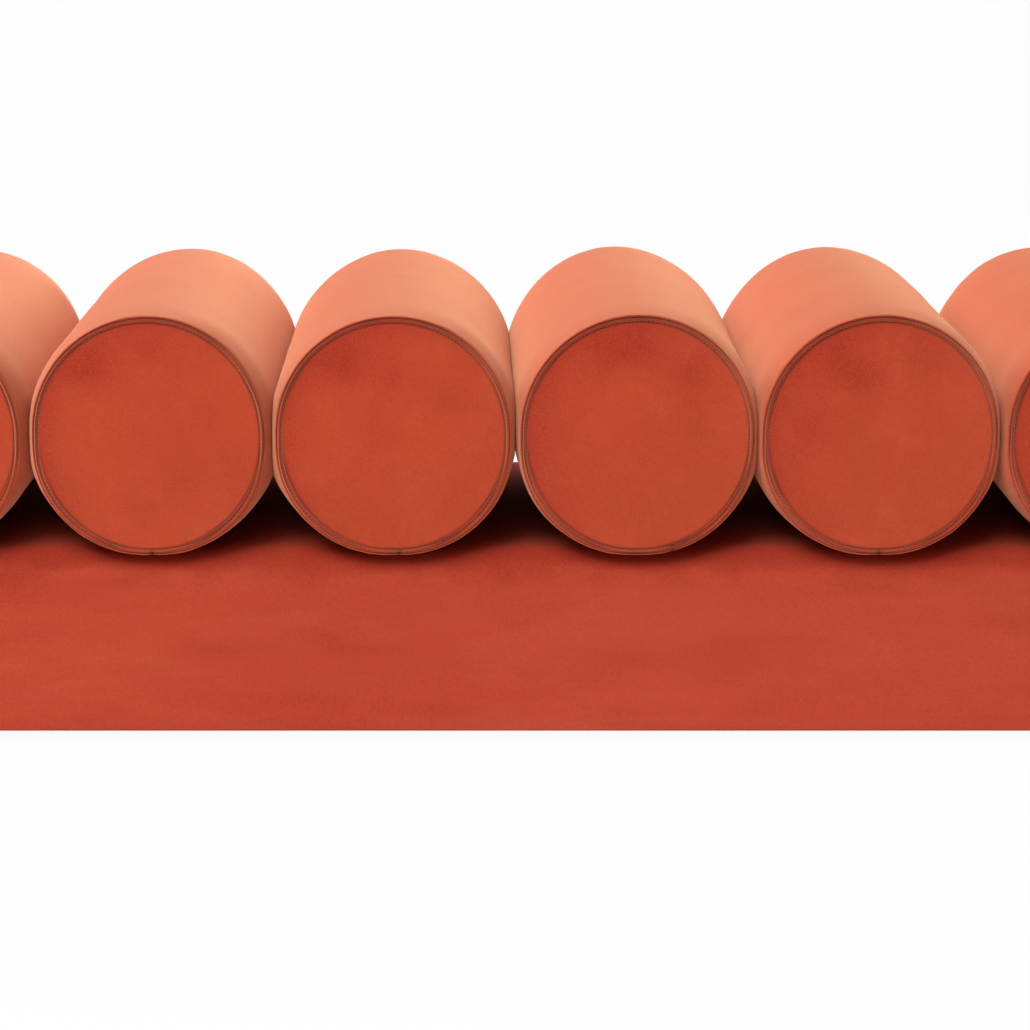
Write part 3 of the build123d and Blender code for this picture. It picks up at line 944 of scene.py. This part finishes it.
    def topstitch(self, end: End, finishes: Finishes) -> bpy.types.Object:
        """The row of stitches in the groove between an end's band and its disc."""
        section = self.shape.section
        middle = section.height / 2
        scale = 1 - self.stitch_inset / (section.width / 2)
        count = round(sum(section.lengths()) * scale / self.stitch_pitch)
        y = end.value * (self.shape.length / 2 - self.stitch_depth)
        places = []
        for i in range(count):
            near, far = [
                Vector((x * scale, y, middle + (z - middle) * scale))
                for x, z in (section.point(i / count), section.point((i + 0.5) / count))
            ]
            spot = Vector(self.shifted(np.array([near]))[0])
            places.append((spot, far - near, Vector((0, end.value, 0))))
        name = f"roll_{self.number}_{end.name.lower()}_stitches"
        piece = copies(name, stitch(self.stitch_length, self.stitch_radius), places)
        piece.data.materials.append(finishes.thread)
        return piece


@dataclass
class Seat:
    """The row of six rolls."""

    pitch: float = 254.0 * MM
    shape: RollShape = field(default_factory=RollShape)
    filling: Filling = field(default_factory=Filling)
    # From the left
    lies: tuple[Lie, ...] = (
        Lie(-3.6 * MM, 1.5 * MM, 0.010, 0.002, 0.0085, 0.03, ((-0.3, 0.5, 26, 0.6),)),
        Lie(-1.2 * MM, 1.6 * MM, 0.008, 0.003, 0.0130, 0.004, (
            (-0.5, 0.6, 24, 0.75), (0.0, 0.72, 15, 0.35), (0.25, -0.35, 20, 0.25),
            (-0.1, -0.62, 22, 0.3),
        )),
        Lie(0.2 * MM, 0.0 * MM, -0.002, 0.003, 0.0105, 0.045, (
            (-0.4, 0.62, 24, 0.75), (0.05, 0.5, 20, 0.45), (0.45, 0.3, 22, 0.35),
            (0.0, -0.3, 16, 0.2), (-0.1, 0.0, 26, 0.25),
        )),
        Lie(1.6 * MM, 2.6 * MM, 0.004, 0.008, 0.0185, 0.30, (
            (-0.15, 0.75, 30, 0.85), (0.4, 0.52, 24, 0.55), (-0.4, 0.55, 22, 0.35),
            (0.55, 0.05, 15, 0.25),
        )),
        Lie(0.8 * MM, 1.2 * MM, 0.0, 0.007, 0.0165, 0.02, (
            (-0.35, 0.6, 26, 0.7), (-0.15, 0.5, 17, 0.5), (-0.6, 0.1, 24, 0.5),
            (0.3, 0.7, 18, 0.25),
        )),
        Lie(3.2 * MM, 3.6 * MM, 0.004, 0.007, 0.0165, -0.04, ((-0.5, 0.4, 28, 0.6),)),
    )
    # At each meeting of two rolls, from the left: how far the lower flanks sag, and how far the
    # upper flanks fill out at the back
    meeting_sags: tuple[float, ...] = (0.03, 0.03, -0.024, 0.014, 0.03)
    meeting_swells: tuple[float, ...] = (0.0, 0.008, 0.011, 0.030, 0.034)
    first_seed: float = 1.0
    seed_step: float = 3.7
    wadding_share: float = 0.962
    wadding_end_share: float = 0.972
    wadding_gap: float = 3.0 * MM
    wadding_detail: float = 0.12

    def build(self, finishes: Finishes) -> list[bpy.types.Object]:
        """Stuff one blank, and make the six rolls and their wadding from it."""
        blank = self.shape.build()
        self.filling.swell(blank, self.shape.held(read_points(blank)))
        subdivision = blank.modifiers.new("smooth", "SUBSURF")
        subdivision.levels = subdivision.render_levels = 1
        apply_modifiers(blank)
        rolls = self.rolls()
        pieces = []
        for roll in rolls:
            pieces.extend(roll.build(blank, finishes))
        pieces.append(self.wadding(blank, rolls, finishes))
        bpy.data.objects.remove(blank)
        return pieces

    def rolls(self) -> list[Roll]:
        """The six rolls from the left, each with the planes where it meets its neighbours."""
        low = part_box("roll_1_tube_cover")[0].z
        last = len(self.lies) - 1
        middles = [(index - last / 2) * self.pitch for index in range(last + 1)]
        lines = [(x + lie.front_shift, x + lie.back_shift) for x, lie in zip(middles, self.lies)]
        meetings = [((a[0] + b[0]) / 2, (a[1] + b[1]) / 2) for a, b in zip(lines, lines[1:])]
        limits = (None, *meetings, None)
        sags = (0.0, *self.meeting_sags, 0.0)
        swells = (0.0, *self.meeting_swells, 0.0)
        return [
            Roll(
                index + 1, middles[index], low, index * self.seed_step + self.first_seed,
                lie, self.shape, limits[index], limits[index + 1],
                sags[index:index + 2], swells[index:index + 2],
            )
            for index, lie in enumerate(self.lies)
        ]

    def wadding(self, blank: bpy.types.Object, rolls: list[Roll],
                finishes: Finishes) -> bpy.types.Object:
        """The wadding wraps, just inside the skins, as one piece.

        Args:
            blank: the stuffed skin, at X 0 with its underside at Z 0.
            rolls: the six rolls.
            finishes: the materials.

        Returns:
            The wadding of all six rolls.
        """
        core = blank.copy()
        core.data = blank.data.copy()
        bpy.context.scene.collection.objects.link(core)
        coarser = core.modifiers.new("coarser", "DECIMATE")
        coarser.ratio = self.wadding_detail
        apply_modifiers(core)
        middle = self.shape.section.height / 2
        points = read_points(core)
        points[:, 0] *= self.wadding_share
        points[:, 1] *= self.wadding_end_share
        points[:, 2] = middle + (points[:, 2] - middle) * self.wadding_share
        wraps = []
        for roll in rolls:
            wrap = core.copy()
            wrap.data = core.data.copy()
            bpy.context.scene.collection.objects.link(wrap)
            write_points(wrap, roll.pressed(roll.shifted(points), self.wadding_gap))
            wraps.append(wrap)
        bpy.data.objects.remove(core)
        clear_selection()
        for wrap in wraps:
            wrap.select_set(True)
        bpy.context.view_layer.objects.active = wraps[0]
        bpy.ops.object.join()
        piece = bpy.context.object
        piece.name = piece.data.name = "roll_wadding_wraps"
        finishes.dress(piece, Slot.WADDING)
        smooth(piece)
        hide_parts("roll_waddings")
        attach(piece, "bench")
        return piece


# Plinth


@dataclass
class Plinth:
    """The plinth's velvet: the wrap over front, top and back, and the two sewn-in end panels."""

    length: float = 1500.0 * MM
    depth: float = 484.0 * MM
    corner: float = 30.0 * MM
    top_radius: float = 26.0 * MM
    bottom_radius: float = 2.5 * MM
    seam_inset: float = 2.0 * MM
    seam_corner: float = 12.0 * MM
    grid: float = 11.0 * MM
    face_tolerance: float = 0.1 * MM
    # Where the velvet turns under, how wide its rounded edge is and how far it hangs
    turn_width: float = 11.0 * MM
    turn_drop: float = 1.8 * MM
    turn_height: float = 30.0 * MM
    # Shallow waves, which fade out towards the underside
    slackness: float = 0.55 * MM
    broad_slackness: float = 1.4 * 0.55 * MM
    wave_cell: float = 40.0 * MM
    broad_cell: float = 170.0 * MM
    fade_height: float = 25.0 * MM
    # How the top is pressed down by each roll and stands up between them
    roll_pitch: float = 254.0 * MM
    bulge: float = 6.0 * MM
    bulge_depth: float = 46.0 * MM
    bulge_margin: float = 60.0 * MM
    # Dark pile: painted shade along the top edges under the rolls, and brushed patches, stronger
    # towards the top as painted shade
    edge_shade_reach: float = 17.0 * MM
    ragged_cell: float = 16.0 * MM
    patch_cell: float = 21.0 * MM
    patch_depth: float = 45.0 * MM
    # The end panels' cloth: each inset row's width and rise in millimetres, from the seam inwards
    skin: float = 1.5 * MM
    panel_sink: float = 0.9 * MM
    panel_rows: tuple[tuple[float, float], ...] = ((0.8, 0.9), (1.2, 0.6), (2.4, 0.35), (6.0, 0.2))
    panel_step: float = 8.0 * MM
    stitch_pitch: float = 4.2 * MM
    stitch_length: float = 3.0 * MM
    stitch_radius: float = 0.42 * MM
    stitch_stand: float = 1.0 * MM
    stitch_drop: float = 5.0 * MM
    stitch_share: float = 0.975
    stitch_foot: float = 4.0 * MM

    def heights(self) -> tuple[float, float]:
        """The underside and the top of the wrap, from the frame."""
        low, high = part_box("plinth_wrap_cover")
        return low.z, high.z

    def build(self, finishes: Finishes) -> list[bpy.types.Object]:
        """Model the velvet of the plinth and its seams."""
        wrap = self.wrap(finishes)
        pieces = [wrap]
        for side, word in ((-1, "left"), (1, "right")):
            panel = self.end_panel(side, word, finishes)
            pieces.extend([panel, self.seam_stitches(side, word, finishes)])
        for piece in pieces:
            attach(piece, "bench")
        return pieces

    def wrap(self, finishes: Finishes) -> bpy.types.Object:
        """The body of the cover: a box, rounded, cut to a fine grid and drawn a little uneven."""
        low, high = self.heights()
        clear_selection()
        bpy.ops.mesh.primitive_cube_add(size=1, location=(0, 0, (low + high) / 2))
        piece = bpy.context.object
        piece.name = piece.data.name = "plinth_cover"
        piece.scale = (self.length, self.depth, high - low)
        settle_place(piece)
        self.bevel_edges(piece, lambda a, b: abs(a.z - b.z) > self.grid, self.corner, 8)
        top, bottom = high - self.face_tolerance, low + self.face_tolerance
        self.bevel_edges(piece, lambda a, b: min(a.z, b.z) > top, self.top_radius, 8)
        self.bevel_edges(piece, lambda a, b: max(a.z, b.z) < bottom, self.bottom_radius, 3)
        self.cut_grid(piece, low, high)
        self.slacken(piece, low, high)
        self.paint_pile_and_shade(piece, high)
        finishes.dress(piece, Slot.PLINTH_VELVET)
        smooth(piece)
        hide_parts("plinth_wrap_cover")
        return piece

    def bevel_edges(self, piece: bpy.types.Object, chosen: Callable[[Vector, Vector], bool],
                    width: float, segments: int) -> None:
        """Round the edges that a test on their two ends picks out.

        Args:
            piece: the box.
            chosen: a function of an edge's two ends.
            width: the radius.
            segments: how many steps go round it.
        """
        take_up(piece)
        for edge in piece.data.edges:
            a, b = (piece.data.vertices[i].co for i in edge.vertices)
            edge.select = bool(chosen(a, b))
        for vertex in piece.data.vertices:
            vertex.select = False
        for edge in piece.data.edges:
            if edge.select:
                for i in edge.vertices:
                    piece.data.vertices[i].select = True
        for polygon in piece.data.polygons:
            polygon.select = False
        bpy.ops.object.mode_set(mode="EDIT")
        bpy.ops.mesh.select_mode(type="EDGE")
        bpy.ops.mesh.bevel(offset=width, segments=segments, profile=0.5, affect="EDGES")
        bpy.ops.object.mode_set(mode="OBJECT")

    def cut_grid(self, piece: bpy.types.Object, low: float, high: float) -> None:
        """Bisect the box into a fine grid along X, Y and Z."""
        take_up(piece)
        bpy.ops.object.mode_set(mode="EDIT")
        wall_top = high - self.top_radius
        spans = (
            (self.length / 2 - self.corner, Vector((1, 0, 0)), 0.0),
            (self.depth / 2 - self.corner, Vector((0, 1, 0)), 0.0),
            ((wall_top - low) / 2, Vector((0, 0, 1)), (low + wall_top) / 2),
        )
        for half, axis, centre in spans:
            count = max(2, round(2 * half / self.grid))
            for i in range(1, count):
                bpy.ops.mesh.select_all(action="SELECT")
                spot = axis * (centre - half + 2 * half * i / count)
                bpy.ops.mesh.bisect(plane_co=spot, plane_no=axis)
        bpy.ops.object.mode_set(mode="OBJECT")

    def slacken(self, piece: bpy.types.Object, low: float, high: float) -> None:
        """Draw the velvet a little uneven, press its top up between the rolls and turn it under.

        Args:
            piece: the cover.
            low: the height of its underside.
            high: the height of its top.
        """
        points = read_points(piece)
        stretched = points * np.array([0.35, 0.6, 1.0])
        waves = lumps(stretched, self.wave_cell, 2.0) * self.slackness
        broad = lumps(points, self.broad_cell, 9.0) * self.broad_slackness
        free = np.clip((points[:, 2] - low) / self.fade_height, 0, 1)
        points += outward(piece) * ((waves + broad) * free)[:, None]
        from_side = self.length / 2 - np.abs(points[:, 0])
        between = 0.5 + 0.5 * np.cos(tau * points[:, 0] / self.roll_pitch)
        inner = np.clip(from_side / self.bulge_margin, 0, 1)
        upper = np.clip((points[:, 2] - high + self.bulge_depth) / self.bulge_depth, 0, 1)
        points[:, 2] += self.bulge * between ** 1.2 * inner * upper ** 1.5
        from_edge = np.minimum(from_side, self.depth / 2 - np.abs(points[:, 1]))
        at_edge = np.clip(1 - from_edge / self.turn_width, 0, 1)
        lower = np.clip(1 - (points[:, 2] - low) / self.turn_height, 0, 1)
        points[:, 2] -= self.turn_drop * np.sqrt(at_edge) * lower
        write_points(piece, points)

    def paint_pile_and_shade(self, piece: bpy.types.Object, high: float) -> None:
        """Mark painted shade along the top edges under the rolls, and long brushed smudges on the
        walls, stronger towards the top as painted shade.
        """
        points = read_points(piece)
        brushed = points * np.array([0.22, 0.5, 1.0])
        patches = np.clip(lumps(brushed, self.patch_cell, 31.0) * 1.7 - 0.25, 0, 1)
        # Painted shade: the patches grow darker towards the top, under the rolls
        patches *= 0.4 + 0.6 * np.exp((points[:, 2] - high) / self.patch_depth)
        stretched = points * np.array([0.5, 1.0, 1.0])
        reach = self.edge_shade_reach * (1 + 0.5 * lumps(stretched, self.ragged_cell, 37.0))
        edge = np.exp(-(np.clip(high - points[:, 2], 0, None) / reach) ** 2)
        # Painted shade along the top edges under the rolls, as dark pile and as seam colour
        mark(piece, NAP_AND_SHADE, 0.75 * edge + 0.8 * patches)
        mark(piece, SEAM_AND_SHADE, 0.34 * edge)

    def seam_outline(self, step: float) -> list[tuple[float, float]]:
        """Y and Z along an end panel's seam, from its front foot over the top to its back foot."""
        low, high = self.heights()
        half = self.depth / 2 - self.corner - self.seam_inset
        top = high - self.top_radius - self.seam_inset
        radius = self.seam_corner
        rise, turn = top - radius - low, pi / 2 * radius
        runs = [rise, turn, 2 * (half - radius), turn, rise]
        count = round(sum(runs) / step)
        outline = []
        for i in range(count + 1):
            way = sum(runs) * i / count
            part = 0
            while part < 4 and way > runs[part]:
                way -= runs[part]
                part += 1
            angle = way / radius
            outline.append([
                (-half, low + way),
                (-half + radius * (1 - cos(angle)), top - radius + radius * sin(angle)),
                (-half + radius + way, top),
                (half - radius + radius * sin(angle), top - radius + radius * cos(angle)),
                (half, top - radius - way),
            ][part])
        return outline

    def end_panel(self, side: int, word: str, finishes: Finishes) -> bpy.types.Object:
        """An end panel: its outline filled, with thickness and an edge that dips into the seam."""
        outline = self.seam_outline(self.panel_step)
        clear_selection()
        bpy.ops.mesh.primitive_circle_add(
            vertices=len(outline), radius=self.depth / 2, fill_type="NGON",
        )
        piece = bpy.context.object
        piece.name = piece.data.name = f"plinth_{word}_panel"
        x = side * self.length / 2
        write_points(piece, np.array([(x, y, z) for y, z in outline]))
        take_up(piece)
        bpy.ops.object.mode_set(mode="EDIT")
        bpy.ops.mesh.select_all(action="SELECT")
        for width, rise in self.panel_rows:
            bpy.ops.mesh.inset(thickness=width * MM, depth=0)
            bpy.ops.transform.translate(value=(side * rise * MM, 0, 0))
        bpy.ops.mesh.select_all(action="SELECT")
        bpy.ops.mesh.normals_make_consistent(inside=False)
        bpy.ops.object.mode_set(mode="OBJECT")
        points = read_points(piece)
        points[:, 0] -= side * self.panel_sink
        write_points(piece, points)
        if piece.data.polygons[0].normal.x * side < 0:
            take_up(piece)
            bpy.ops.object.mode_set(mode="EDIT")
            bpy.ops.mesh.select_all(action="SELECT")
            bpy.ops.mesh.flip_normals()
            bpy.ops.object.mode_set(mode="OBJECT")
        solid = piece.modifiers.new("cloth", "SOLIDIFY")
        solid.thickness = self.skin
        solid.offset = -1
        apply_modifiers(piece)
        finishes.dress(piece, Slot.PLINTH_VELVET)
        smooth(piece)
        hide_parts(f"plinth_{word}_end_cover")
        return piece

    def seam_stitches(self, side: int, word: str, finishes: Finishes) -> bpy.types.Object:
        """The topstitching round an end panel, just inside its seam."""
        path = self.seam_outline(self.stitch_pitch)
        x = side * (self.length / 2 + self.stitch_stand)
        lowest = self.heights()[0] + self.stitch_foot
        places = []
        for (y0, z0), (y1, z1) in zip(path, path[1:]):
            spot = Vector((x, (y0 + y1) / 2 * self.stitch_share, (z0 + z1) / 2 - self.stitch_drop))
            if spot.z > lowest:
                places.append((spot, Vector((0, y1 - y0, z1 - z0)), Vector((side, 0, 0))))
        shape = stitch(self.stitch_length, self.stitch_radius)
        piece = copies(f"plinth_{word}_stitches", shape, places)
        piece.data.materials.append(finishes.thread)
        return piece


# Frame, fixings and feet


@dataclass
class Hardware:
    """The CAD pieces that keep their shape and get their finish."""

    def dress(self, frame: dict, finishes: Finishes) -> int:
        """Give every kept CAD node its material.

        Args:
            finishes: the materials.

        Returns:
            How many nodes were dressed.
        """
        for part in frame["record"]["subparts"]:
            node = frame["nodes"][part["node"]]
            finishes.dress(node, Slot(part["material_slot"]))
        return len(frame["record"]["subparts"])


# Studio


@dataclass(frozen=True)
class Lamp:
    """A soft rectangular lamp: where it stands, what it faces, its size in metres and its watts."""

    name: str
    place: tuple[float, float, float]
    aim: tuple[float, float, float]
    size: tuple[float, float]
    power: float

    def build(self) -> None:
        """Set the lamp up."""
        data = bpy.data.lights.new(self.name, "AREA")
        data.shape = "RECTANGLE"
        data.size, data.size_y = self.size
        data.energy = self.power
        lamp = bpy.data.objects.new(self.name, data)
        lamp.location = self.place
        towards = Vector(self.aim) - Vector(self.place)
        lamp.rotation_euler = towards.to_track_quat("-Z", "Y").to_euler()
        bpy.context.scene.collection.objects.link(lamp)


@dataclass(frozen=True)
class Daylight:
    """Broad even light, as through a large window, from one direction and as strong far off."""

    towards: tuple[float, float, float] = (-0.32, -0.52, 0.84)
    strength: float = 2.25
    spread: float = 34.0

    def build(self) -> None:
        """Set the light up."""
        data = bpy.data.lights.new("daylight", "SUN")
        data.energy = self.strength
        data.angle = radians(self.spread)
        lamp = bpy.data.objects.new("daylight", data)
        lamp.rotation_euler = Vector(self.towards).to_track_quat("Z", "Y").to_euler()
        bpy.context.scene.collection.objects.link(lamp)


@dataclass
class Studio:
    """Floor, lights, white surroundings and the camera at the photograph's place."""

    image: float = 1030.0
    focal_pixels: float = 2912.7
    principal_x: float = 457.3
    pitch: float = 12.86
    eye: tuple[float, float, float] = (-0.0601, -3.2332, 0.9330)
    sensor: float = 36.0
    sight: float = 100.0
    world_level: float = 0.06
    lights: tuple[Daylight | Lamp, ...] = (
        Daylight(),
        Lamp("front", (-1.2, -3.2, 2.6), (0, -0.2, 0.25), (2.4, 1.4), 36.0),
        Lamp("behind", (-1.0, 1.9, 1.7), (0, 0.0, 0.4), (2.8, 0.8), 78.0),
    )
    floor_size: float = 90.0
    floor_colour: tuple[float, float, float] = (0.92, 0.92, 0.92)
    floor_glow_share: float = 0.95

    def camera(self) -> None:
        """Place the camera."""
        data = bpy.data.cameras.new("camera")
        data.sensor_width = self.sensor
        data.lens = self.focal_pixels / self.image * self.sensor
        data.shift_x = (self.image / 2 - self.principal_x) / self.image
        data.clip_end = self.sight
        camera = bpy.data.objects.new("camera", data)
        camera.location = self.eye
        camera.rotation_euler = (radians(90 - self.pitch), 0, 0)
        bpy.context.scene.collection.objects.link(camera)
        bpy.context.scene.camera = camera

    def seen_white(self, tree: bpy.types.NodeTree) -> bpy.types.NodeSocket:
        """1 for rays from the camera, from gloss or through glass, and 0 for the rest."""
        path = tree.nodes.new("ShaderNodeLightPath")
        total = path.outputs["Is Camera Ray"]
        for name in ("Is Glossy Ray", "Is Transmission Ray"):
            step = tree.nodes.new("ShaderNodeMath")
            step.operation = "MAXIMUM"
            tree.links.new(total, step.inputs[0])
            tree.links.new(path.outputs[name], step.inputs[1])
            total = step.outputs[0]
        return total

    def world(self) -> None:
        """White surroundings that light the bench at a plain level."""
        world = bpy.data.worlds.new("surroundings")
        bpy.context.scene.world = world
        world.use_nodes = True
        tree = world.node_tree
        background = tree.nodes["Background"]
        background.inputs["Color"].default_value = (1, 1, 1, 1)
        strength = tree.nodes.new("ShaderNodeMapRange")
        strength.inputs["To Min"].default_value = self.world_level
        strength.inputs["To Max"].default_value = 1.0
        tree.links.new(self.seen_white(tree), strength.inputs["Value"])
        tree.links.new(strength.outputs["Result"], background.inputs["Strength"])

    def floor(self) -> None:
        """A plain pale floor that keeps the bench's shadow."""
        clear_selection()
        bpy.ops.mesh.primitive_plane_add(size=self.floor_size, location=(0, 0, 0))
        piece = bpy.context.object
        piece.name = "floor"
        tree = Tree("floor_paint")
        diffuse = tree.add("ShaderNodeBsdfDiffuse", Color=(*self.floor_colour, 1.0))
        glow = tree.add("ShaderNodeEmission", Color=(1, 1, 1, 1), Strength=1.0)
        shade = tree.add("ShaderNodeMixShader")
        ramp = tree.ramp(self.seen_white(tree.tree), 0.0, 1.0, (0.0, self.floor_glow_share))
        tree.tree.links.new(ramp, shade.inputs[0])
        tree.tree.links.new(diffuse.outputs[0], shade.inputs[1])
        tree.tree.links.new(glow.outputs[0], shade.inputs[2])
        piece.data.materials.append(tree.finish(shade))

    def build(self) -> None:
        """Set up the whole studio."""
        bpy.context.scene.view_settings.view_transform = "Standard"
        self.camera()
        self.world()
        for light in self.lights:
            light.build()
        self.floor()


def main() -> None:
    """Load the frame, build each sub-assembly in order and report it."""
    logging.basicConfig(level=logging.INFO, format="%(name)s %(message)s")
    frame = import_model()
    finishes = Finishes()
    dressed = Hardware().dress(frame, finishes)
    LOG.info("dressed %d CAD nodes", dressed)
    for maker in (Seat(), Plinth()):
        for piece in maker.build(finishes):
            LOG.info("%s: %d faces", piece.name, len(piece.data.polygons))
    Studio().build()


if __name__ == "__main__":
    main()
